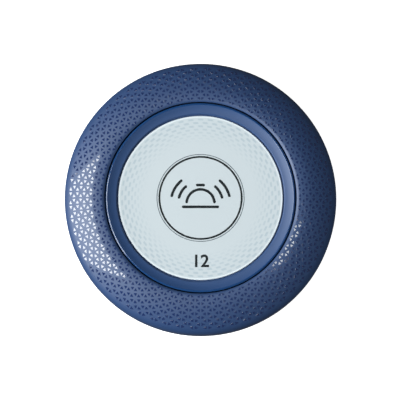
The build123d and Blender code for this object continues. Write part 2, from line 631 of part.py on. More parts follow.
def make_coin_cell():
    can = disc(CELL_RADIUS, CELL_LEVEL, CELL_TOP - CELL_CAN_HEIGHT)
    can = fillet(can.edges().group_by(Axis.Z)[0], CELL_LOWER_ROUND)
    can = fillet(can.edges().group_by(Axis.Z)[-1], CELL_UPPER_ROUND)
    return can + disc(CELL_RADIUS - CELL_CAN_STEP, CELL_TOP - 2 * CELL_CAN_HEIGHT, CELL_TOP)


# ---- Circuit board ------------------------------------------------------------------------------
def make_circuit_board():
    board = disc(BOARD_RADIUS, BOARD_LEVEL, BOARD_TOP)
    hole = disc(BOARD_SCREW_RADIUS + RUN_GAP, 0, PUCK_HEIGHT)
    for piece in around(BOARD_SCREW_ANGLES, BOARD_SCREW_ORBIT, hole):
        board -= piece
    return board


def make_board_screws():
    screw = Pos(0, 0, BOARD_LEVEL) * pan_screw(
        BOARD_SCREW_RADIUS, BOARD_SCREW_GRIP, BOARD_HEAD_RADIUS, BOARD_HEAD_HEIGHT
    )
    return around(BOARD_SCREW_ANGLES, BOARD_SCREW_ORBIT, screw)


def make_negative_contact():
    """A strip under the board whose free end bends down to the middle of the cell."""
    top = BOARD_LEVEL
    low = CELL_TOP + SNUG_GAP
    strip = CONTACT_STRIP
    outline = Polyline(
        (-NEGATIVE_HALF, top),
        (-NEGATIVE_HALF, top - strip),
        (0, top - strip),
        (NEGATIVE_HALF - NEGATIVE_TOE, low),
        (NEGATIVE_HALF + NEGATIVE_TOE, low),
        (NEGATIVE_HALF + NEGATIVE_TOE, low + strip),
        (NEGATIVE_HALF - NEGATIVE_TOE, low + strip),
        (0, top),
        close=True,
    )
    return extrude(Plane.XZ * make_face(outline), NEGATIVE_WIDTH / 2, both=True)


def make_positive_contact():
    """A clip from the board's underside down along the rim of the cell."""
    face = -CELL_RADIUS - SNUG_GAP
    leg = block(CONTACT_STRIP, POSITIVE_WIDTH, TURRET_TOP + RUN_GAP, BOARD_LEVEL)
    foot = block(POSITIVE_FOOT, POSITIVE_WIDTH, BOARD_LEVEL - CONTACT_STRIP, BOARD_LEVEL)
    return Pos(face - CONTACT_STRIP / 2, 0, 0) * leg + Pos(face - POSITIVE_FOOT / 2, 0, 0) * foot


def switch_cavity_floor():
    return SWITCH_TOP - PLUNGER_FLANGE_HEIGHT - PLUNGER_TRAVEL - FACE_GAP - DOME_THICKNESS


def make_tact_switch_body():
    body = block(SWITCH_SIDE, SWITCH_SIDE, BOARD_TOP, SWITCH_TOP)
    body = chamfer(body.edges().filter_by(Axis.Z), SWITCH_CORNER)
    return body - disc(PLUNGER_RADIUS + PLUNGER_FLANGE + PLUNGER_GAP, switch_cavity_floor(), PUCK_HEIGHT)


def make_tact_switch_frame():
    frame = block(SWITCH_SIDE, SWITCH_SIDE, SWITCH_TOP, FRAME_TOP)
    frame = chamfer(frame.edges().filter_by(Axis.Z), SWITCH_CORNER)
    return frame - disc(PLUNGER_RADIUS + PLUNGER_GAP, 0, PUCK_HEIGHT)


def make_switch_dome():
    level = switch_cavity_floor()
    return disc(PLUNGER_RADIUS + PLUNGER_FLANGE, level, level + DOME_THICKNESS)


def make_switch_plunger():
    stem = disc(PLUNGER_RADIUS, SWITCH_TOP - PLUNGER_FLANGE_HEIGHT, PLUNGER_TOP)
    stem = fillet(stem.edges().sort_by(Axis.Z)[-1], PLUNGER_ROUND)
    flange = disc(
        PLUNGER_RADIUS + PLUNGER_FLANGE, SWITCH_TOP - PLUNGER_FLANGE_HEIGHT, SWITCH_TOP - FACE_GAP
    )
    return stem + flange


def make_switch_terminals():
    """Four bent legs soldered beside the switch body."""
    foot = Pos(TERMINAL_REACH / 2, 0, 0) * block(
        TERMINAL_REACH, TERMINAL_WIDTH, BOARD_TOP, BOARD_TOP + TERMINAL_STRIP
    )
    riser = Pos(TERMINAL_STRIP / 2, 0, 0) * block(
        TERMINAL_STRIP, TERMINAL_WIDTH, BOARD_TOP, BOARD_TOP + TERMINAL_REACH
    )
    spread = SWITCH_SIDE / 2 - SWITCH_CORNER - TERMINAL_WIDTH / 2
    legs = [Pos(SWITCH_SIDE / 2, side * spread, 0) * (foot + riser) for side in (-1, 1)]
    return [Rot(0, 0, turn) * leg for turn in (0, 180) for leg in legs]


def chip(size, leads, pitch):
    """A moulded chip on the board, its leads along both long sides."""
    length, width, height = size
    body = block(length, width, BOARD_TOP + CHIP_LIFT, BOARD_TOP + height)
    body = chamfer(body.edges().group_by(Axis.Z)[-1], CHIP_CHAMFER)
    lead_width = pitch * LEAD_SHARE
    foot = Pos(0, LEAD_FOOT / 2, 0) * block(lead_width, LEAD_FOOT, BOARD_TOP, BOARD_TOP + LEAD_THICKNESS)
    riser = block(lead_width, 2 * LEAD_THICKNESS, BOARD_TOP, BOARD_TOP + height / 2)
    for row in (0, 180):
        for lead in range(leads):
            place = (lead - (leads - 1) / 2) * pitch
            body += Rot(0, 0, row) * Pos(place, width / 2, 0) * (foot + riser)
    return body


def make_controller_chip():
    package = Rot(0, 0, 90) * chip(CONTROLLER_SIZE, CONTROLLER_LEADS, CONTROLLER_PITCH)
    return Pos(*CONTROLLER_PLACE) * package


def make_radio_chip():
    return Pos(*RADIO_PLACE) * chip(RADIO_SIZE, RADIO_LEADS, RADIO_PITCH)


def make_crystal():
    length, width, height = CRYSTAL_SIZE
    can = block(length, width, BOARD_TOP, BOARD_TOP + height)
    return Pos(*CRYSTAL_PLACE) * fillet(can.edges().filter_by(Axis.Z), CRYSTAL_ROUND)


def small_parts(first, count, height):
    """A column of chip parts on the board, each a solid of its own."""
    part = block(SMALL_PART_LENGTH, SMALL_PART_WIDTH, BOARD_TOP, BOARD_TOP + height)
    return [Pos(*first) * Pos(0, row * SMALL_PART_PITCH, 0) * part for row in range(count)]


def make_ceramic_capacitors():
    return small_parts(CAPACITOR_COLUMN, CAPACITOR_COUNT, CAPACITOR_HEIGHT)


def make_chip_resistors():
    beside_radio = small_parts(RADIO_RESISTORS, RADIO_RESISTOR_COUNT, RESISTOR_HEIGHT)
    beside_chip = small_parts(CONTROLLER_RESISTORS, CONTROLLER_RESISTOR_COUNT, RESISTOR_HEIGHT)
    return beside_radio + [Pos(*CONTROLLER_PLACE) * part for part in beside_chip]


def make_status_led():
    top = BOARD_TOP + LED_HEIGHT
    led = block(LED_LENGTH, LED_WIDTH, BOARD_TOP, top)
    led = chamfer(led.edges().group_by(Axis.Z)[-1], CHIP_CHAMFER)
    lens = disc(LED_LENS_RADIUS, top - LED_LENS_PROUD, top + LED_LENS_PROUD)
    return Pos(0, LIGHT_ORBIT, 0) * (led + lens)


def make_antenna_coil():
    """A spring aerial lying under the board, beside the battery turret."""
    outer = ANTENNA_RADIUS + ANTENNA_WIRE / 2
    aerial = coil(ANTENNA_RADIUS, ANTENNA_WIRE, ANTENNA_TURNS, ANTENNA_LENGTH)
    place = Pos(TURRET_RADIUS + RUN_GAP + outer, ANTENNA_LENGTH / 2, BOARD_LEVEL - outer)
    return place * Rot(90, 0, 0) * aerial


# ---- All parts ----------------------------------------------------------------------------------
PARTS = {
    "top_shell": make_top_shell,
    "base_shell": make_base_shell,
    "case_gasket": make_case_gasket,
    "rubber_feet": make_rubber_feet,
    "case_screws": make_case_screws,
    "button_cap": make_button_cap,
    "face_label": make_face_label,
    "light_pipe": make_light_pipe,
    "return_springs": make_return_springs,
    "battery_door": make_battery_door,
    "door_gasket": make_door_gasket,
    "coin_cell": make_coin_cell,
    "positive_contact": make_positive_contact,
    "negative_contact": make_negative_contact,
    "circuit_board": make_circuit_board,
    "board_screws": make_board_screws,
    "tact_switch_body": make_tact_switch_body,
    "tact_switch_frame": make_tact_switch_frame,
    "switch_dome": make_switch_dome,
    "switch_plunger": make_switch_plunger,
    "switch_terminals": make_switch_terminals,
    "controller_chip": make_controller_chip,
    "radio_chip": make_radio_chip,
    "crystal": make_crystal,
    "ceramic_capacitors": make_ceramic_capacitors,
    "chip_resistors": make_chip_resistors,
    "status_led": make_status_led,
    "antenna_coil": make_antenna_coil,
}


def main():
    os.makedirs("parts", exist_ok=True)
    for name, make in PARTS.items():
        shape = make()
        if isinstance(shape, list):
            shape = Compound(children=[piece.solid() for piece in shape])
        export_step(shape, f"parts/{name}.step")


main()
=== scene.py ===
from math import asin, cos, pi, radians, sin, sqrt

import bmesh
import bpy
from bpy.props import FloatProperty, FloatVectorProperty, IntProperty, PointerProperty, StringProperty
from mathutils import Matrix, Vector


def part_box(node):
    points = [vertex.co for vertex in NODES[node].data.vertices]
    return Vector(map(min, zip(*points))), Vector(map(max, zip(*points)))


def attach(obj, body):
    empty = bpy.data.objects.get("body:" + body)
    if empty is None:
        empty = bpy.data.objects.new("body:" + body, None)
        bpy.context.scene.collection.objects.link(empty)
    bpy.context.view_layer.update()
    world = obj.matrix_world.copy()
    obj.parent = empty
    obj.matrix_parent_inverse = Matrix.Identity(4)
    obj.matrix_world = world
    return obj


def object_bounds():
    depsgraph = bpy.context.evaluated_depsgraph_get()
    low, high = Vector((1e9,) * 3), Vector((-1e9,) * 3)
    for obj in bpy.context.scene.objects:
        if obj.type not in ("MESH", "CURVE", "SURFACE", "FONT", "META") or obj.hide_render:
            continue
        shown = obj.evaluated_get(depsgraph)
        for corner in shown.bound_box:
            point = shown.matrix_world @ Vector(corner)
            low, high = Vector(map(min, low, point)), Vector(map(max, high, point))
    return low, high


bl_info = {
    "name": "Waiter call button",
    "version": (1, 0, 0),
    "blender": (4, 5, 0),
    "location": "View3D > Sidebar > Call button",
    "description": "Finishes a round table-top call button on its CAD frame",
    "category": "Object",
}

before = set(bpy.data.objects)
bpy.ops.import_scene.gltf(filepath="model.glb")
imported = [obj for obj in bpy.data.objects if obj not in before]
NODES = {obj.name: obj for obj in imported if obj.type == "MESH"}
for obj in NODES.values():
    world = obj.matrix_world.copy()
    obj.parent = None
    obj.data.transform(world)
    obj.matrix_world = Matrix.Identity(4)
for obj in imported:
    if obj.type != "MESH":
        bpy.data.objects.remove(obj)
CAD_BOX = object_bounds()

MM = 0.001
MIDDLE = (0.0, 0.0, 0.0)
UPRIGHT = (0.0, 0.0, 1.0)

# The label, and the film of ink that stands on it and reaches a little into it.
LABEL_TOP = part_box("face_label")[1].z
INK_LOW = LABEL_TOP - 0.01 * MM
INK_HIGH = LABEL_TOP + 0.02 * MM
INK_MIDDLE = (INK_LOW + INK_HIGH) / 2

# A stroke of ink ends in a near half circle: the share of its width that is rounded, and in how
# many steps.
STROKE_END = 0.48
STROKE_END_STEPS = 5

# The ring's section: an arc outwards from the crown, a wide arc for the slope, and the shoulder.
PUCK_RADIUS = CAD_BOX[1].x
PUCK_TOP = CAD_BOX[1].z
CROWN_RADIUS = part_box("button_cap")[1].x + 1.4 * MM
CROWN_ROUND = 11.9 * MM
SHOULDER_ROUND = 4.8 * MM
SLOPE_START = radians(17)
SLOPE_END = radians(42)

# A raised triangle: how far it reaches into the ring, how much its sides lean in, and the
# rounding of its corners and of its top edge.
TRIANGLE_SUNK = 0.2 * MM
TRIANGLE_LEAN = 0.06
TRIANGLE_CORNER = 0.1 * MM
TRIANGLE_EDGE = 0.012 * MM

# How a triangle stands: its least tilt and, in millimetres, how far its middle is from the middle
# of its pair in the innermost row, and how much more in the outermost.
LEAST_TILT = radians(9.5)
HALF_PAIR = 0.55
HALF_PAIR_GROWTH = 0.12

# The studio: the tints of its light, how far off the lights and the camera stand, and the
# camera's lens, direction and target. Seen from here the button is nearly a full circle.
DAYLIGHT = (0.96, 1.0, 1.0)
ROOM_LIGHT = (1.0, 0.97, 0.94, 1.0)
LIGHT_DISTANCE = 1.2
CAMERA_DISTANCE = 2.0
CAMERA_LENS = 556.0
CAMERA_AZIMUTH = -90
CAMERA_ELEVATION = 86
CAMERA_TARGET = Vector((-0.00017, -0.00028, 0.014))

# How strongly the commonest materials bend light.
ABS_IOR = 1.54
RUBBER_IOR = 1.52

# Settings of the Mix node when it blends colours, its sockets, and operations of the Math nodes.
COLOURS = {"data_type": "RGBA"}
MIX_FROM = 6
MIX_TO = 7
SUBTRACT = {"operation": "SUBTRACT"}
MULTIPLY = {"operation": "MULTIPLY"}
MULTIPLY_ADD = {"operation": "MULTIPLY_ADD"}
ABSOLUTE = {"operation": "ABSOLUTE"}
GREATER = {"operation": "GREATER_THAN"}
LESS = {"operation": "LESS_THAN"}
LENGTH = {"operation": "LENGTH"}

# Two rows of nodes that give the distance from the button's axis, as radius:Value.
FROM_AXIS = (
    ("flat", "VectorMath", MULTIPLY, {0: "place:Object", 1: (1, 1, 0)}),
    ("radius", "VectorMath", LENGTH, {0: "flat"}),
)


# ---- Colours, nodes and materials ---------------------------------------------------------------
def linear(code):
    """An sRGB hex colour as linear red, green, blue and alpha."""
    shares = [int(code[place : place + 2], 16) / 255 for place in (1, 3, 5)]
    return [s / 12.92 if s <= 0.04045 else ((s + 0.055) / 1.055) ** 2.4 for s in shares] + [1.0]


def shaded(colour, share):
    """A colour made darker or lighter by a share."""
    return [part * share for part in colour[:3]] + [1.0]


def add_node(tree, name, kind, settings, inputs):
    """Adds one shader node. An input given as text is a link: node, node:output or node:number."""
    made = tree.nodes.new("ShaderNode" + kind)
    made.name = name
    for setting, value in settings.items():
        setattr(made, setting, value)
    for key, value in inputs.items():
        if isinstance(value, str):
            source, _, output = value.partition(":")
            outputs = tree.nodes[source].outputs
            found = outputs[output] if output.isalpha() else outputs[int(output or 0)]
            tree.links.new(found, made.inputs[key])
        else:
            made.inputs[key].default_value = value


def finish_of(name, rows, shader):
    """A material made of rows of nodes, then the Principled shader with its inputs."""
    made = bpy.data.materials.new(name)
    made.use_nodes = True
    tree = made.node_tree
    tree.nodes.clear()
    add_node(tree, "place", "TexCoord", {}, {})
    for row in rows:
        add_node(tree, *row)
    add_node(tree, "surface", "BsdfPrincipled", {}, shader)
    add_node(tree, "output", "OutputMaterial", {}, {"Surface": "surface"})
    return made


def put_on(material, *names):
    """Gives CAD nodes their finish."""
    for name in names:
        NODES[name].material_slots[0].material = material


def moulded(name, colour, roughness, grain, depth, **shader):
    """Moulded plastic or rubber: the mould's grain, and faint flow clouds in colour and sheen."""
    darker, lighter = shaded(colour, 0.94), shaded(colour, 1.06)
    shinier, duller = roughness * 0.92, roughness * 1.08
    rows = [
        ("grain", "TexNoise", {}, {"Vector": "place:Object", "Scale": 1 / grain, "Detail": 2.0}),
        ("clouds", "TexNoise", {}, {"Vector": "place:Object", "Scale": 1 / (14 * MM), "Detail": 2.0}),
        ("tint", "Mix", COLOURS, {0: "clouds", MIX_FROM: darker, MIX_TO: lighter}),
        ("sheen", "MapRange", {}, {"Value": "clouds", "To Min": shinier, "To Max": duller}),
        ("relief", "Bump", {}, {"Height": "grain", "Distance": depth}),
    ]
    inputs = {"Base Color": "tint:2", "Roughness": "sheen", "Normal": "relief", **shader}
    return finish_of(name, rows, inputs)


def metal(name, colour, roughness, grain, depth, stretch=(1, 1, 1)):
    """Bare or plated metal: lines of drawing or rolling, or plating spangle, and duller patches."""
    darker, lighter = shaded(colour, 0.86), shaded(colour, 1.08)
    shinier, duller = roughness * 0.75, roughness * 1.3
    rows = [
        ("lay", "Mapping", {}, {"Vector": "place:Object", "Scale": stretch}),
        ("grain", "TexNoise", {}, {"Vector": "lay", "Scale": 1 / grain, "Detail": 4.0}),
        ("patches", "TexNoise", {}, {"Vector": "place:Object", "Scale": 1 / (3 * MM)}),
        ("tint", "Mix", COLOURS, {0: "grain", MIX_FROM: darker, MIX_TO: lighter}),
        ("sheen", "MapRange", {}, {"Value": "patches", "To Min": shinier, "To Max": duller}),
        ("relief", "Bump", {}, {"Height": "grain", "Distance": depth}),
    ]
    inputs = {"Base Color": "tint:2", "Roughness": "sheen", "Normal": "relief", "Metallic": 1.0}
    return finish_of(name, rows, inputs)


def tinned(name, axis, centres, reach, body, roughness, grain):
    """A small electronic part: its body ends in tinned metal past a reach from its middle plane."""
    first, last = centres
    tin, tin_roughness = linear("#C9CBC8"), 0.32
    rows = [
        ("spot", "SeparateXYZ", {}, {"Vector": "place:Object"}),
        ("off_first", "Math", SUBTRACT, {0: "spot:" + axis, 1: first}),
        ("off_last", "Math", SUBTRACT, {0: "spot:" + axis, 1: last}),
        ("from_first", "Math", ABSOLUTE, {0: "off_first"}),
        ("from_last", "Math", ABSOLUTE, {0: "off_last"}),
        ("nearest", "Math", {"operation": "MINIMUM"}, {0: "from_first", 1: "from_last"}),
        ("tin", "Math", GREATER, {0: "nearest", 1: reach}),
        ("grain", "TexNoise", {}, {"Vector": "place:Object", "Scale": 1 / grain, "Detail": 3.0}),
        ("tint", "Mix", COLOURS, {0: "grain", MIX_FROM: shaded(body, 0.85), MIX_TO: shaded(body, 1.15)}),
        ("skin", "Mix", COLOURS, {0: "tin", MIX_FROM: "tint:2", MIX_TO: tin}),
        ("sheen", "MapRange", {}, {"Value": "tin", "To Min": roughness, "To Max": tin_roughness}),
        ("relief", "Bump", {}, {"Height": "grain", "Distance": 0.004 * MM}),
    ]
    inputs = {"Base Color": "skin:2", "Roughness": "sheen", "Metallic": "tin", "Normal": "relief"}
    return finish_of(name, rows, inputs)


# ---- Pieces -------------------------------------------------------------------------------------
def new_piece(name, shape, body, material):
    """Ends a bmesh as a piece that rides on a body."""
    bmesh.ops.remove_doubles(shape, verts=shape.verts[:], dist=0.001 * MM)
    bmesh.ops.recalc_face_normals(shape, faces=shape.faces[:])
    mesh = bpy.data.meshes.new(name)
    shape.to_mesh(mesh)
    shape.free()
    mesh.materials.append(material)
    made = bpy.data.objects.new(name, mesh)
    bpy.context.scene.collection.objects.link(made)
    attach(made, body)


def join_in(shape, extra):
    """Adds a bmesh to another and frees it."""
    passing = bpy.data.meshes.new("passing")
    extra.to_mesh(passing)
    extra.free()
    shape.from_mesh(passing)
    bpy.data.meshes.remove(passing)


def soften(shape, edges, width, segments):
    """Rounds edges of a bmesh."""
    bmesh.ops.bevel(
        shape,
        geom=edges,
        offset=width,
        offset_type="OFFSET",
        segments=segments,
        profile=0.5,
        affect="EDGES",
        material=-1,
        clamp_overlap=True,
    )


def upright_edges(faces, least):
    """The edges of some faces that rise more than the least height."""
    edges = dict.fromkeys(edge for face in faces for edge in face.edges)
    return [edge for edge in edges if abs(edge.verts[0].co.z - edge.verts[1].co.z) > least]


def ring_surface(radius):
    """Level and outward tilt of the ring's top at a radius outside its crown."""
    crown_level = PUCK_TOP - CROWN_ROUND
    crown_end = CROWN_RADIUS + CROWN_ROUND * sin(SLOPE_START)
    slope_end = PUCK_RADIUS - SHOULDER_ROUND * (1 - sin(SLOPE_END))
    slope_round = (slope_end - crown_end) / (sin(SLOPE_END) - sin(SLOPE_START))
    slope_level = crown_level - (slope_round - CROWN_ROUND) * cos(SLOPE_START)
    if radius < crown_end:
        centre, level, arc = CROWN_RADIUS, crown_level, CROWN_ROUND
    elif radius < slope_end:
        centre, level, arc = crown_end - slope_round * sin(SLOPE_START), slope_level, slope_round
    else:
        raise RuntimeError("a row of triangles reaches the ring's shoulder")
    tilt = asin((radius - centre) / arc)
    return level + arc * cos(tilt), tilt


def raised_triangle(side, proud):
    """One raised triangle at the origin, its point towards +Y, with rounded corners and top edge."""
    reach = side / sqrt(3)
    shape = bmesh.new()
    bmesh.ops.create_cone(
        shape,
        cap_ends=True,
        segments=3,
        radius1=reach * (1 + TRIANGLE_LEAN),
        radius2=reach * (1 - TRIANGLE_LEAN),
        depth=proud + TRIANGLE_SUNK,
        matrix=Matrix.Translation((0, 0, (proud - TRIANGLE_SUNK) / 2)),
    )
    soften(shape, upright_edges(shape.faces, least=proud), TRIANGLE_CORNER, segments=2)
    top = max(shape.faces, key=lambda face: face.calc_center_median().z)
    soften(shape, list(top.edges), TRIANGLE_EDGE, segments=1)
    return shape


def ink_bar(place, length, width):
    """A straight stroke of ink on the label with round ends."""
    shape = bmesh.new()
    spot = Matrix.Translation((place[0], place[1], INK_MIDDLE))
    size = Matrix.Diagonal((length, width, INK_HIGH - INK_LOW, 1))
    bmesh.ops.create_cube(shape, size=1.0, matrix=spot @ size)
    corners = upright_edges(shape.faces, least=0.01 * MM)
    soften(shape, corners, STROKE_END * min(length, width), STROKE_END_STEPS)
    return shape


def ink_arc(place, radius, width, start, sweep, steps):
    """A curved stroke of ink on the label: a whole circle, or part of one with round ends."""
    inner, outer = radius - width / 2, radius + width / 2
    whole = sweep == 360
    shape = bmesh.new()
    corners = ((inner, INK_LOW), (outer, INK_LOW), (outer, INK_HIGH), (inner, INK_HIGH))
    section = shape.faces.new([shape.verts.new((reach, 0, level)) for reach, level in corners])
    shape.transform(Matrix.Rotation(radians(start), 4, "Z"))
    if whole:
        bmesh.ops.delete(shape, geom=[section], context="FACES_ONLY")
    bmesh.ops.spin(
        shape,
        geom=shape.verts[:] + shape.edges[:] + shape.faces[:],
        cent=MIDDLE,
        axis=UPRIGHT,
        angle=radians(sweep),
        steps=steps,
        use_merge=whole,
    )
    if not whole:
        # The stroke's two end faces stand upright and are as large as its section.
        shape.normal_update()
        section_area = width * (INK_HIGH - INK_LOW)
        upright = [f for f in shape.faces if abs(f.normal.z) < 0.5]
        ends = [f for f in upright if abs(f.calc_area() - section_area) < section_area / 100]
        soften(shape, upright_edges(ends, least=0.01 * MM), STROKE_END * width, STROKE_END_STEPS)
    shape.transform(Matrix.Translation((place[0], place[1], 0)))
    return shape


# ---- Settings -----------------------------------------------------------------------------------
def length_setting(name, description, millimetres):
    """A length with its default in millimetres."""
    return FloatProperty(
        name=name,
        description=description,
        default=millimetres * MM,
        min=0.0,
        precision=5,
        subtype="DISTANCE",
        unit="LENGTH",
    )


def colour_setting(name, description, code):
    """A colour with its default as an sRGB hex code."""
    return FloatVectorProperty(
        name=name, description=description, default=linear(code), size=4, min=0.0, max=1.0, subtype="COLOR"
    )


class CallButtonSettings(bpy.types.PropertyGroup):
    """Sizes and colours of the call button."""

    pairs: IntProperty(
        name="Pairs in a row", description="Pairs of raised triangles round the ring", default=60, min=3
    )
    rows: IntProperty(name="Rows", description="Rows of raised triangles", default=10, min=2)
    first_row: length_setting("First row", "Radius of the innermost row of triangles", 32.14)
    row_step: length_setting("Row step", "Distance between rows, seen from above", 1.0896)
    inner_side: length_setting("Inner triangle side", "Side of a triangle in the innermost row", 1.06)
    outer_side: length_setting("Outer triangle side", "Side of a triangle in the outermost row", 1.36)
    proud: length_setting("Triangle height", "How far a triangle stands proud of the ring", 0.03)
    ring_colour: colour_setting("Ring", "Satin ground of the ring", "#133969")
    # Darker than the ring's colour: painted shade for the dark room that the polished triangles mirror.
    shaded_triangle_colour: colour_setting("Triangles", "Polished raised triangles", "#142A59")
    cap_colour: colour_setting("Cap", "Dished press cap", "#173E6F")
    label_colour: colour_setting("Label", "Printed field of the label", "#C1CACF")
    border_colour: colour_setting("Border", "White border of the label", "#DAE3E8")
    dash_colour: colour_setting("Dashes", "Rings of dashes printed on the label", "#ADBBC3")
    ink_colour: colour_setting("Ink", "Dark ink of the circle, the bell and the number", "#0E181C")
    circle: length_setting("Finger circle", "Radius of the dark printed circle", 13.28)
    stroke: length_setting("Stroke", "Line width of the bell", 0.85)
    number: StringProperty(
        name="Table number", description="Plain number printed below the circle", default="12"
    )
    number_size: length_setting("Number size", "Letter size of the table number", 5.6)
    base_colour: colour_setting("Base", "Lower housing and battery door", "#24272B")
    softbox: FloatProperty(name="Softbox", description="Strength of the large light", default=7.9, min=0.0)
    lamp: FloatProperty(name="Small lamp", description="Strength of the small light", default=5.0, min=0.0)
    fill: FloatProperty(name="Fill", description="Strength of the fill light", default=0.8, min=0.0)
    room: FloatProperty(name="Room", description="Strength of the light all round", default=0.1, min=0.0)


# ---- Stage --------------------------------------------------------------------------------------
def aim(spot, target, up=UPRIGHT):
    """The matrix of a camera or light at a spot that looks at a target."""
    back = (Vector(spot) - Vector(target)).normalized()
    right = Vector(up).cross(back).normalized()
    turn = Matrix((right, back.cross(right), back)).transposed()
    return Matrix.LocRotScale(Vector(spot), turn, None)


def direction(azimuth, elevation):
    """A unit vector: azimuth from +X towards +Y, and elevation above the table, in degrees."""
    level = cos(radians(elevation))
    return Vector((level * cos(radians(azimuth)), level * sin(radians(azimuth)), sin(radians(elevation))))


def add_light(name, radiance, target, azimuth, elevation, size, glossy=True):
    """A flat light of the given width and height that faces a target from a direction."""
    lamp = bpy.data.lights.new(name, "AREA")
    lamp.shape = "RECTANGLE"
    lamp.size, lamp.size_y = size
    lamp.energy = radiance * size[0] * size[1] * pi
    lamp.color = DAYLIGHT
    made = bpy.data.objects.new(name, lamp)
    spot = Vector(target) + LIGHT_DISTANCE * direction(azimuth, elevation)
    made.matrix_world = aim(spot, target)
    made.visible_camera = False
    made.visible_glossy = glossy
    bpy.context.scene.collection.objects.link(made)


def stage_object(name, shape, material):
    """A piece of the stage made of a bmesh, which neither lights the button nor mirrors in it."""
    mesh = bpy.data.meshes.new(name)
    shape.to_mesh(mesh)
    shape.free()
    mesh.materials.append(material)
    made = bpy.data.objects.new(name, mesh)
    bpy.context.scene.collection.objects.link(made)
    made.visible_glossy = False
    made.visible_diffuse = False
    return made


class CALL_BUTTON_OT_stage(bpy.types.Operator):
    """Lays the pale floor and backdrop, sets the studio light and places the camera"""

    bl_idname = "call_button.stage"
    bl_label = "Stage, light and camera"

    def execute(self, context):
        settings = context.scene.call_button
        scene = context.scene
        scene.view_settings.view_transform = "Standard"

        # White paper sweep: matt, with faint fibres, and lit so strongly that it prints as white.
        white = linear("#FFFFFF")
        paper = finish_of(
            "white_paper",
            [
                ("fibre", "TexNoise", {}, {"Vector": "place:Object", "Scale": 1 / (2 * MM)}),
                ("pale", "MapRange", {}, {"Value": "fibre", "To Min": 0.86, "To Max": 0.9}),
            ],
            {"Base Color": "pale", "Roughness": 0.9, "Emission Color": white, "Emission Strength": 0.92},
        )
        floor = bmesh.new()
        bmesh.ops.create_circle(floor, cap_ends=True, segments=96, radius=4.0)
        stage_object("floor", floor, paper)

        # Backlit white cloth: it gives its own light, so that it is even and shows no weave.
        wall = finish_of(
            "white_backdrop",
            [],
            {"Base Color": linear("#000000"), "Emission Color": white, "Emission Strength": 0.95},
        )
        dome = bmesh.new()
        bmesh.ops.create_uvsphere(dome, u_segments=48, v_segments=24, radius=4.5)
        backdrop = stage_object("backdrop", dome, wall)
        backdrop.visible_transmission = False
        backdrop.visible_shadow = False

        world = bpy.data.worlds.new("studio_room")
        world.use_nodes = True
        room = world.node_tree.nodes["Background"]
        room.inputs["Color"].default_value = ROOM_LIGHT
        room.inputs["Strength"].default_value = settings.room
        scene.world = world

        # The softbox turns the triangles on the left white, the small lamp makes the sparks at the
        # lower right, and the fill lifts the colours.
        left_slope, right_crown = (-0.038, -0.007, 0.02), (0.029, -0.016, 0.0218)
        add_light("softbox", settings.softbox, left_slope, azimuth=187, elevation=35, size=(1.0, 1.32))
        add_light("small_lamp", settings.lamp, right_crown, azimuth=-17, elevation=72.6, size=(0.22, 0.13))
        add_light("fill", settings.fill, MIDDLE, azimuth=-50, elevation=45, size=(1.4, 1.4), glossy=False)

        camera = bpy.data.cameras.new("camera")
        camera.lens = CAMERA_LENS
        camera.sensor_width = 36.0
        camera.clip_end = 20.0
        made = bpy.data.objects.new("camera", camera)
        spot = CAMERA_TARGET + CAMERA_DISTANCE * direction(CAMERA_AZIMUTH, CAMERA_ELEVATION)
        made.matrix_world = aim(spot, CAMERA_TARGET, up=(0, 1, 0))
        scene.collection.objects.link(made)
        scene.camera = made
        return {"FINISHED"}


# ---- Housing ring -------------------------------------------------------------------------------
class CALL_BUTTON_OT_ring(bpy.types.Operator):
    """Gives the housing ring its satin ground and its rows of raised, polished triangles"""

    bl_idname = "call_button.ring"
    bl_label = "Housing ring"

    def execute(self, context):
        settings = context.scene.call_button

        # ABS moulded on a fine spark-eroded tool: an even satin ground that holds a wide soft glow.
        # The real grain is about 0.03 mm; it is drawn at 0.3 mm, or no view would show it.
        ground = moulded(
            "satin_moulded_abs",
            settings.ring_colour,
            roughness=0.58,
            grain=0.3 * MM,
            depth=0.004 * MM,
            **{"IOR": ABS_IOR, "Specular IOR Level": 0.92},
        )
        put_on(ground, "top_shell")

        # The same ABS where the tool's triangles are polished: small dark mirrors that turn white
        #         # where they show the softbox. Their colour is set darker than the ring's, though it is the
        #         # same ABS: painted shade for the dark room that they mirror.
        polished = moulded(
            "polished_moulded_abs",
            settings.shaded_triangle_colour,
            roughness=0.1,
            grain=0.5 * MM,
            depth=0.0004 * MM,
            **{"IOR": ABS_IOR, "Coat Weight": 1.0, "Coat Roughness": 0.05, "Coat IOR": 1.72},
        )
        pattern = bmesh.new()
        for row in range(settings.rows):
            share = row / (settings.rows - 1)
            radius = settings.first_row + row * settings.row_step
            side = settings.inner_side + share * (settings.outer_side - settings.inner_side)
            level, tilt = ring_surface(radius)
            # On the crown the triangles are cut more steeply than the ring itself.
            tilt = max(tilt, LEAST_TILT)
            # The two triangles of a pair stand base to base, with a narrow gap between them, and
            # every other row is turned by half a pitch.
            apart = (HALF_PAIR + HALF_PAIR_GROWTH * share) * MM / radius
            for way in (-1, 1):
                turn = way * apart + (row % 2) * pi / settings.pairs
                out = Vector((cos(turn), sin(turn), 0))
                along = Vector((-sin(turn), cos(turn), 0)) * way
                up = out * sin(tilt) + Vector(UPRIGHT) * cos(tilt)
                slope = (out * cos(tilt) - Vector(UPRIGHT) * sin(tilt)) * way
                place = Matrix((slope, along, up)).transposed().to_4x4()
                place.translation = out * radius + Vector(UPRIGHT) * level
                one = raised_triangle(side, settings.proud)
                one.transform(place)
                bmesh.ops.spin(
                    one,
                    geom=one.verts[:] + one.edges[:] + one.faces[:],
                    cent=MIDDLE,
                    axis=UPRIGHT,
                    angle=2 * pi * (settings.pairs - 1) / settings.pairs,
                    steps=settings.pairs - 1,
                    use_duplicate=True,
                )
                join_in(pattern, one)
        new_piece("ring_triangles", pattern, "housing", polished)
        return {"FINISHED"}


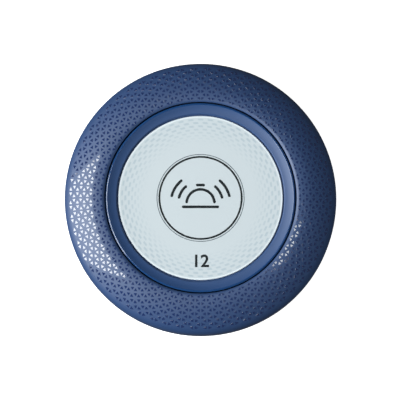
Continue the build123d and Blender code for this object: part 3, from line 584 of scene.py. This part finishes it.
# ---- Press cap ----------------------------------------------------------------------------------
def cap_finish(settings):
    """ABS from a finer tool than the ring: silky in the dish, and polished by fingers on its rim."""
    darker, lighter = shaded(settings.cap_colour, 0.94), shaded(settings.cap_colour, 1.06)
    rim_start = CROWN_RADIUS - 2.05 * MM
    rows = [
        *FROM_AXIS,
        ("rim", "Math", GREATER, {0: "radius:Value", 1: rim_start}),
        ("clouds", "TexNoise", {}, {"Vector": "place:Object", "Scale": 1 / (14 * MM), "Detail": 2.0}),
        ("grain", "TexNoise", {}, {"Vector": "place:Object", "Scale": 1 / (0.5 * MM), "Detail": 2.0}),
        ("tint", "Mix", COLOURS, {0: "clouds", MIX_FROM: darker, MIX_TO: lighter}),
        ("sheen", "MapRange", {}, {"Value": "rim", "To Min": 0.58, "To Max": 0.12}),
        ("relief", "Bump", {}, {"Height": "grain", "Distance": 0.002 * MM}),
    ]
    inputs = {"Base Color": "tint:2", "Roughness": "sheen", "Normal": "relief", "IOR": 1.66}
    return finish_of("silky_moulded_abs", rows, inputs)


class CALL_BUTTON_OT_cap(bpy.types.Operator):
    """Gives the press cap, its light pipe and its springs their finish"""

    bl_idname = "call_button.cap"
    bl_label = "Press cap"

    def execute(self, context):
        put_on(cap_finish(context.scene.call_button), "button_cap")

        # Clear moulded acrylic: lets the light of the lamp through, with a faint ripple from the mould.
        clear = finish_of(
            "clear_moulded_acrylic",
            [
                ("ripple", "TexNoise", {}, {"Vector": "place:Object", "Scale": 1 / (1.5 * MM)}),
                ("sheen", "MapRange", {}, {"Value": "ripple", "To Min": 0.03, "To Max": 0.09}),
                ("relief", "Bump", {}, {"Height": "ripple", "Distance": 0.005 * MM}),
            ],
            {
                "Base Color": linear("#F4F8FA"),
                "Roughness": "sheen",
                "Normal": "relief",
                "IOR": 1.49,
                "Transmission Weight": 1.0,
            },
        )
        put_on(clear, "light_pipe")

        # Drawn stainless spring wire: bright, with the fine marks of the die, shown 0.2 mm apart.
        wire = metal(
            "drawn_stainless_wire", linear("#B9BBBD"), roughness=0.22, grain=0.2 * MM, depth=0.002 * MM
        )
        put_on(wire, "return_springs")
        return {"FINISHED"}


def label_print(settings):
    """Polycarbonate film printed pale, with rings of dashes that fade inwards and a white border."""
    field = list(settings.label_colour)
    dashes = list(settings.dash_colour)
    white = list(settings.border_colour)
    dashes_round = 50
    dash_lean = 0.12
    ring_start = 25.43 * MM
    rings_per_metre = 0.84 / MM
    ring_closing = 0.0215 / MM**2
    fade_start, fade_end = 17.6 * MM, 23.5 * MM
    last_dash, dash_free = 25.55 * MM, 25.7 * MM
    border = 25.95 * MM
    border_end = border + 0.1 * MM
    rows = [
        ("spot", "SeparateXYZ", {}, {"Vector": "place:Object"}),
        *FROM_AXIS,
        # Rings of dashes, counted inwards: they stand closer together towards the middle.
        ("depth", "Math", SUBTRACT, {0: ring_start, 1: "radius:Value"}),
        ("closing", "Math", MULTIPLY_ADD, {0: "depth", 1: ring_closing, 2: rings_per_metre}),
        ("turns", "Math", MULTIPLY, {0: "depth", 1: "closing"}),
        ("ring", "Math", {"operation": "ROUND"}, {0: "turns"}),
        ("off_ring", "Math", SUBTRACT, {0: "turns", 1: "ring"}),
        # Dashes counted round the ring. The count starts at two rounds, so it stays above zero.
        ("angle", "Math", {"operation": "ARCTAN2"}, {0: "spot:Y", 1: "spot:X"}),
        ("steps", "Math", MULTIPLY_ADD, {0: "angle", 1: dashes_round / (2 * pi), 2: 2.0 * dashes_round}),
        # Every other ring is turned by half a dash, and each dash leans a little.
        ("stagger", "Math", MULTIPLY_ADD, {0: "ring", 1: 0.5, 2: "steps"}),
        ("slant", "Math", MULTIPLY_ADD, {0: "off_ring", 1: dash_lean, 2: "stagger"}),
        ("cell", "Math", {"operation": "FRACT"}, {0: "slant"}),
        ("off_cell", "Math", SUBTRACT, {0: "cell", 1: 0.5}),
        ("from_cell", "Math", ABSOLUTE, {0: "off_cell"}),
        ("from_ring", "Math", ABSOLUTE, {0: "off_ring"}),
        ("long", "MapRange", {}, {"Value": "from_cell", "From Min": 0.33, "From Max": 0.19}),
        ("wide", "MapRange", {}, {"Value": "from_ring", "From Min": 0.38, "From Max": 0.2}),
        ("fade", "MapRange", {}, {"Value": "radius:Value", "From Min": fade_start, "From Max": fade_end}),
        ("inside", "MapRange", {}, {"Value": "radius:Value", "From Min": dash_free, "From Max": last_dash}),
        ("dash", "Math", MULTIPLY, {0: "long", 1: "wide"}),
        ("faded", "Math", MULTIPLY, {0: "dash", 1: "fade"}),
        ("printed", "Math", MULTIPLY, {0: "faded", 1: "inside"}),
        ("with_dashes", "Mix", COLOURS, {0: "printed", MIX_FROM: field, MIX_TO: dashes}),
        ("rim", "MapRange", {}, {"Value": "radius:Value", "From Min": border, "From Max": border_end}),
        ("with_border", "Mix", COLOURS, {0: "rim", MIX_FROM: "with_dashes:2", MIX_TO: white}),
        # Matt lacquer over the print: a fine tooth that softens gloss, drawn at 0.4 mm.
        ("tooth", "TexNoise", {}, {"Vector": "place:Object", "Scale": 1 / (0.4 * MM)}),
        ("sheen", "MapRange", {}, {"Value": "tooth", "To Min": 0.38, "To Max": 0.5}),
        ("relief", "Bump", {}, {"Height": "tooth", "Distance": 0.002 * MM}),
    ]
    inputs = {"Base Color": "with_border:2", "Roughness": "sheen", "Normal": "relief", "IOR": 1.58}
    return finish_of("printed_polycarbonate_film", rows, inputs)


class CALL_BUTTON_OT_label(bpy.types.Operator):
    """Prints the label: its field, the finger circle, the bell and the table number"""

    bl_idname = "call_button.label"
    bl_label = "Label and print"

    def execute(self, context):
        settings = context.scene.call_button
        put_on(label_print(settings), "face_label")

        # Screen-printed ink: a thin film with a slight gloss, uneven where it pooled. One ink is
        # nearly black, and the other a grey that shows as a finer, fainter line.
        film = {"roughness": 0.4, "grain": 0.3 * MM, "depth": 0.001 * MM}
        ink = moulded("dark_screen_ink", settings.ink_colour, **film)
        grey = moulded("grey_screen_ink", linear("#566168"), **film)
        circle = ink_arc(MIDDLE, settings.circle, 0.6 * MM, start=0, sweep=360, steps=180)
        new_piece("finger_circle", circle, "cap", ink)
        outer_radius = settings.circle + 0.78 * MM
        outer = ink_arc(MIDDLE, outer_radius, 0.24 * MM, start=0, sweep=360, steps=180)
        new_piece("outer_circle", outer, "cap", grey)

        # A counter bell: its dome, foot and button, and two ringing arcs on each side.
        stroke = settings.stroke
        foot = -2.9 * MM
        dome = foot + 1.15 * MM
        button = dome + 5.9 * MM
        bell = ink_arc((0, dome), 4.5 * MM, stroke, start=0, sweep=180, steps=24)
        join_in(bell, ink_bar((0, foot), 12.0 * MM, stroke))
        join_in(bell, ink_bar((0, button), 2.9 * MM, stroke))
        right_side, left_side = 12, 128
        for radius in (7.2 * MM, 9.6 * MM):
            for start in (right_side, left_side):
                join_in(bell, ink_arc((0, dome), radius, stroke, start, sweep=40, steps=12))
        new_piece("bell_print", bell, "cap", ink)

        # The table number, its strokes made a little bolder, as thick as the other ink.
        words = bpy.data.curves.new("table_number", "FONT")
        words.body = settings.number
        words.size = settings.number_size
        words.offset = 0.12 * MM
        words.extrude = 0.015 * MM
        words.align_x = "CENTER"
        words.align_y = "CENTER"
        number_place = (0, -20.6 * MM, INK_MIDDLE)
        holder = bpy.data.objects.new("table_number_text", words)
        flat = bpy.data.meshes.new_from_object(holder)
        bpy.data.objects.remove(holder)
        number = bmesh.new()
        number.from_mesh(flat)
        bpy.data.meshes.remove(flat)
        number.transform(Matrix.Translation(number_place))
        new_piece("table_number", number, "cap", ink)
        return {"FINISHED"}


# ---- Underside ----------------------------------------------------------------------------------
class CALL_BUTTON_OT_underside(bpy.types.Operator):
    """Gives the base, battery door, feet, seals and screws their finish"""

    bl_idname = "call_button.underside"
    bl_label = "Underside"

    def execute(self, context):
        settings = context.scene.call_button

        # ABS on a coarsely eroded tool: a matt black that hides scratches. Grain about 0.15 mm,
        # drawn at 0.35 mm.
        matt = moulded(
            "eroded_black_abs",
            settings.base_colour,
            roughness=0.58,
            grain=0.35 * MM,
            depth=0.02 * MM,
            IOR=ABS_IOR,
        )
        put_on(matt, "base_shell")

        # The same ABS from a finer tool: a shade darker and silkier, so the door stands out.
        satin = moulded(
            "satin_black_abs",
            shaded(settings.base_colour, 0.85),
            roughness=0.45,
            grain=0.35 * MM,
            depth=0.008 * MM,
            IOR=ABS_IOR,
        )
        put_on(satin, "battery_door")

        # Moulded rubber: a dull dark grey with a dusty bloom, softer in its highlights than the ABS.
        rubber = moulded(
            "moulded_rubber",
            linear("#35363A"),
            roughness=0.75,
            grain=0.6 * MM,
            depth=0.015 * MM,
            IOR=RUBBER_IOR,
        )
        put_on(rubber, "rubber_feet")

        # Moulded nitrile: smoother and blacker than the feet, with a faint oily sheen.
        seal = moulded(
            "nitrile_seal",
            linear("#1E1F21"),
            roughness=0.6,
            grain=0.5 * MM,
            depth=0.006 * MM,
            IOR=RUBBER_IOR,
        )
        put_on(seal, "case_gasket", "door_gasket")

        # Zinc-plated steel: bright with a faint blue cast and plating spangle.
        zinc = metal(
            "zinc_plated_steel", linear("#C3C8CE"), roughness=0.3, grain=0.4 * MM, depth=0.004 * MM
        )
        put_on(zinc, "case_screws", "board_screws")
        return {"FINISHED"}


# ---- Battery and contacts -----------------------------------------------------------------------
class CALL_BUTTON_OT_power(bpy.types.Operator):
    """Gives the coin cell and its contacts their finish"""

    bl_idname = "call_button.power"
    bl_label = "Battery and contacts"

    def execute(self, context):
        # Stainless can and lid, turned on a lathe: bright rings, drawn 0.3 mm apart, with the dark
        # nylon seal between can and lid.
        low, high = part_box("coin_cell")
        seal_start = high.x - 1.3 * MM
        seal_end = high.x - 0.85 * MM
        rows = [
            ("spot", "SeparateXYZ", {}, {"Vector": "place:Object"}),
            *FROM_AXIS,
            ("lathe", "Math", MULTIPLY, {0: "radius:Value", 1: 2 * pi / (0.3 * MM)}),
            ("rings", "Math", {"operation": "SINE"}, {0: "lathe"}),
            ("patches", "TexNoise", {}, {"Vector": "place:Object", "Scale": 1 / (4 * MM)}),
            ("past_lid", "Math", GREATER, {0: "radius:Value", 1: seal_start}),
            ("past_seal", "Math", GREATER, {0: "radius:Value", 1: seal_end}),
            ("seal_ring", "Math", SUBTRACT, {0: "past_lid", 1: "past_seal"}),
            ("upper", "Math", GREATER, {0: "spot:Z", 1: (low.z + high.z) / 2}),
            ("seal", "Math", MULTIPLY, {0: "seal_ring", 1: "upper"}),
            ("steel", "Mix", COLOURS, {0: "patches", MIX_FROM: linear("#B4B4B2"), MIX_TO: linear("#CFCECB")}),
            ("skin", "Mix", COLOURS, {0: "seal", MIX_FROM: "steel:2", MIX_TO: linear("#1C1C1E")}),
            ("bare", "Math", SUBTRACT, {0: 1.0, 1: "seal"}),
            ("sheen", "MapRange", {}, {"Value": "patches", "To Min": 0.2, "To Max": 0.36}),
            ("relief", "Bump", {}, {"Height": "rings", "Distance": 0.001 * MM}),
        ]
        inputs = {"Base Color": "skin:2", "Roughness": "sheen", "Metallic": "bare", "Normal": "relief"}
        put_on(finish_of("turned_stainless_cell", rows, inputs), "coin_cell")

        # Nickel-plated phosphor bronze strip: warm bright metal with fine rolling lines along X.
        strip = metal(
            "nickel_plated_bronze",
            linear("#CFC9BC"),
            roughness=0.25,
            grain=0.25 * MM,
            depth=0.002 * MM,
            stretch=(0.15, 1, 1),
        )
        put_on(strip, "positive_contact", "negative_contact")
        return {"FINISHED"}


# ---- Circuit board and switch -------------------------------------------------------------------
def solder_masked_board():
    """Glass-epoxy board: satin green mask over poured copper, and the sawn tan edge."""
    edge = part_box("circuit_board")[1].x - 0.15 * MM
    green = linear("#1F5A3A")
    rows = [
        *FROM_AXIS,
        # Etched gaps about 0.6 mm wide between areas of poured copper about 5 mm across.
        ("areas", "TexVoronoi", {"feature": "DISTANCE_TO_EDGE"}, {"Vector": "flat", "Scale": 1 / (5 * MM)}),
        ("gap", "Math", LESS, {0: "areas:Distance", 1: 0.06}),
        ("weave", "TexNoise", {}, {"Vector": "place:Object", "Scale": 1 / (0.8 * MM), "Detail": 3.0}),
        ("mask", "Mix", COLOURS, {0: "weave", MIX_FROM: shaded(green, 0.8), MIX_TO: shaded(green, 1.15)}),
        ("copper", "Mix", COLOURS, {0: "gap", MIX_FROM: shaded(green, 1.7), MIX_TO: "mask:2"}),
        ("sawn", "Math", GREATER, {0: "radius:Value", 1: edge}),
        ("skin", "Mix", COLOURS, {0: "sawn", MIX_FROM: "copper:2", MIX_TO: linear("#B9A36B")}),
        ("sheen", "MapRange", {}, {"Value": "sawn", "To Min": 0.28, "To Max": 0.8}),
        ("relief", "Bump", {}, {"Height": "gap", "Distance": -0.02 * MM}),
    ]
    inputs = {"Base Color": "skin:2", "Roughness": "sheen", "Normal": "relief", "IOR": 1.55}
    return finish_of("solder_masked_glass_epoxy", rows, inputs)


def lamp_finish():
    """Moulded white nylon lamp body with a glossy yellowish lens of cast silicone."""
    low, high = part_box("status_led")
    middle = ((low.x + high.x) / 2, (low.y + high.y) / 2, 0)
    lens_radius = 1.12 * MM
    lens_low = high.z - 0.11 * MM
    rows = [
        ("from_middle", "VectorMath", SUBTRACT, {0: "place:Object", 1: middle}),
        ("flat", "VectorMath", MULTIPLY, {0: "from_middle", 1: (1, 1, 0)}),
        ("radius", "VectorMath", LENGTH, {0: "flat"}),
        ("height", "SeparateXYZ", {}, {"Vector": "place:Object"}),
        ("round", "Math", LESS, {0: "radius:Value", 1: lens_radius}),
        ("above", "Math", GREATER, {0: "height:Z", 1: lens_low}),
        ("lens", "Math", MULTIPLY, {0: "round", 1: "above"}),
        ("grain", "TexNoise", {}, {"Vector": "place:Object", "Scale": 1 / (0.4 * MM)}),
        ("nylon", "Mix", COLOURS, {0: "grain", MIX_FROM: linear("#DEDDD6"), MIX_TO: linear("#EFEEE9")}),
        ("skin", "Mix", COLOURS, {0: "lens", MIX_FROM: "nylon:2", MIX_TO: linear("#E4C45A")}),
        ("sheen", "MapRange", {}, {"Value": "lens", "To Min": 0.5, "To Max": 0.08}),
    ]
    return finish_of("white_nylon_lamp", rows, {"Base Color": "skin:2", "Roughness": "sheen"})


class CALL_BUTTON_OT_board(bpy.types.Operator):
    """Gives the circuit board, its parts and the switch their finish"""

    bl_idname = "call_button.board"
    bl_label = "Circuit board"

    def execute(self, context):
        put_on(solder_masked_board(), "circuit_board")
        put_on(lamp_finish(), "status_led")

        # Moulded epoxy chips: dull black, with tinned leads past the body's sides.
        epoxy = {"body": linear("#1B1B1D"), "roughness": 0.55, "grain": 0.3 * MM}
        low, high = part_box("controller_chip")
        centres = [(low.x + high.x) / 2] * 2
        chip = tinned("moulded_epoxy_controller", "X", centres, reach=1.97 * MM, **epoxy)
        put_on(chip, "controller_chip")
        low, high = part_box("radio_chip")
        centres = [(low.y + high.y) / 2] * 2
        chip = tinned("moulded_epoxy_radio", "Y", centres, reach=1.52 * MM, **epoxy)
        put_on(chip, "radio_chip")

        # Fired ceramic: chalky tan bodies in one column, whose ends are dipped in tin.
        half_chip = 1.0 * MM
        end_cap = {"reach": 0.6 * MM, "grain": 0.2 * MM}
        low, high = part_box("ceramic_capacitors")
        centres = [(low.x + high.x) / 2] * 2
        tan = tinned("fired_ceramic", "X", centres, body=linear("#A98A63"), roughness=0.5, **end_cap)
        put_on(tan, "ceramic_capacitors")

        # Glazed alumina: glossy black bodies in two columns, with the same tinned ends.
        low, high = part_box("chip_resistors")
        centres = (low.x + half_chip, high.x - half_chip)
        black = tinned("glazed_alumina", "X", centres, body=linear("#202124"), roughness=0.3, **end_cap)
        put_on(black, "chip_resistors")

        # Stamped and drawn metal, each with a colour, roughness, grain, depth and stretch. The
        # crystal's can is drawn and nickel-plated: smooth and warm. The switch cover is tinned
        # steel, dull with long rolling lines. The legs are silvered brass, pale and warm, and the
        # dome is spring stainless, bright and hard.
        even, along_x, along_y = (1, 1, 1), (0.2, 1, 1), (1, 0.3, 1)
        for node, name, colour, *skin in (
            ("crystal", "nickel_plated_can", "#C8C5BC", 0.24, 0.3 * MM, 0.002 * MM, even),
            ("tact_switch_frame", "stamped_tinned_steel", "#BFC0BE", 0.34, 0.3 * MM, 0.003 * MM, along_x),
            ("switch_terminals", "silvered_brass", "#D6D2C4", 0.28, 0.2 * MM, 0.002 * MM, along_y),
            ("switch_dome", "stamped_stainless", "#BDBEC0", 0.2, 0.2 * MM, 0.001 * MM, along_x),
        ):
            put_on(metal(name, linear(colour), *skin), node)

        # Glass-filled nylon: black, slightly clouded by the fibres, and harder-looking than ABS.
        nylon = moulded(
            "glass_filled_nylon",
            linear("#17181A"),
            roughness=0.5,
            grain=0.25 * MM,
            depth=0.006 * MM,
            IOR=1.53,
        )
        put_on(nylon, "tact_switch_body")

        # Moulded acetal: dark brown, slick and glossy where it slides in the cover.
        acetal = moulded(
            "polished_acetal",
            linear("#2A211C"),
            roughness=0.22,
            grain=0.4 * MM,
            depth=0.001 * MM,
            IOR=1.48,
        )
        put_on(acetal, "switch_plunger")

        # Tinned copper wire, drawn and then wound: soft bright bands round the coil.
        wire = metal(
            "tinned_copper_wire", linear("#CDBFB2"), roughness=0.3, grain=0.25 * MM, depth=0.002 * MM
        )
        put_on(wire, "antenna_coil")
        return {"FINISHED"}


# ---- Panel and registration ---------------------------------------------------------------------
class CALL_BUTTON_PT_panel(bpy.types.Panel):
    """Lists the steps and settings of the call button"""

    bl_label = "Call button"
    bl_space_type = "VIEW_3D"
    bl_region_type = "UI"
    bl_category = "Call button"

    def draw(self, context):
        for step in STEPS:
            self.layout.operator(step.bl_idname)
        for name in CallButtonSettings.__annotations__:
            self.layout.prop(context.scene.call_button, name)


STEPS = (
    CALL_BUTTON_OT_stage,
    CALL_BUTTON_OT_ring,
    CALL_BUTTON_OT_cap,
    CALL_BUTTON_OT_label,
    CALL_BUTTON_OT_underside,
    CALL_BUTTON_OT_power,
    CALL_BUTTON_OT_board,
)
CLASSES = (CallButtonSettings, *STEPS, CALL_BUTTON_PT_panel)


def register():
    """Registers the classes and hangs the settings on the scene."""
    for kind in CLASSES:
        bpy.utils.register_class(kind)
    bpy.types.Scene.call_button = PointerProperty(type=CallButtonSettings)


def unregister():
    """Takes the settings and the classes away again."""
    del bpy.types.Scene.call_button
    for kind in reversed(CLASSES):
        bpy.utils.unregister_class(kind)


def main():
    register()
    for step in STEPS:
        group, name = step.bl_idname.split(".")
        getattr(getattr(bpy.ops, group), name)()


if __name__ == "__main__":
    main()
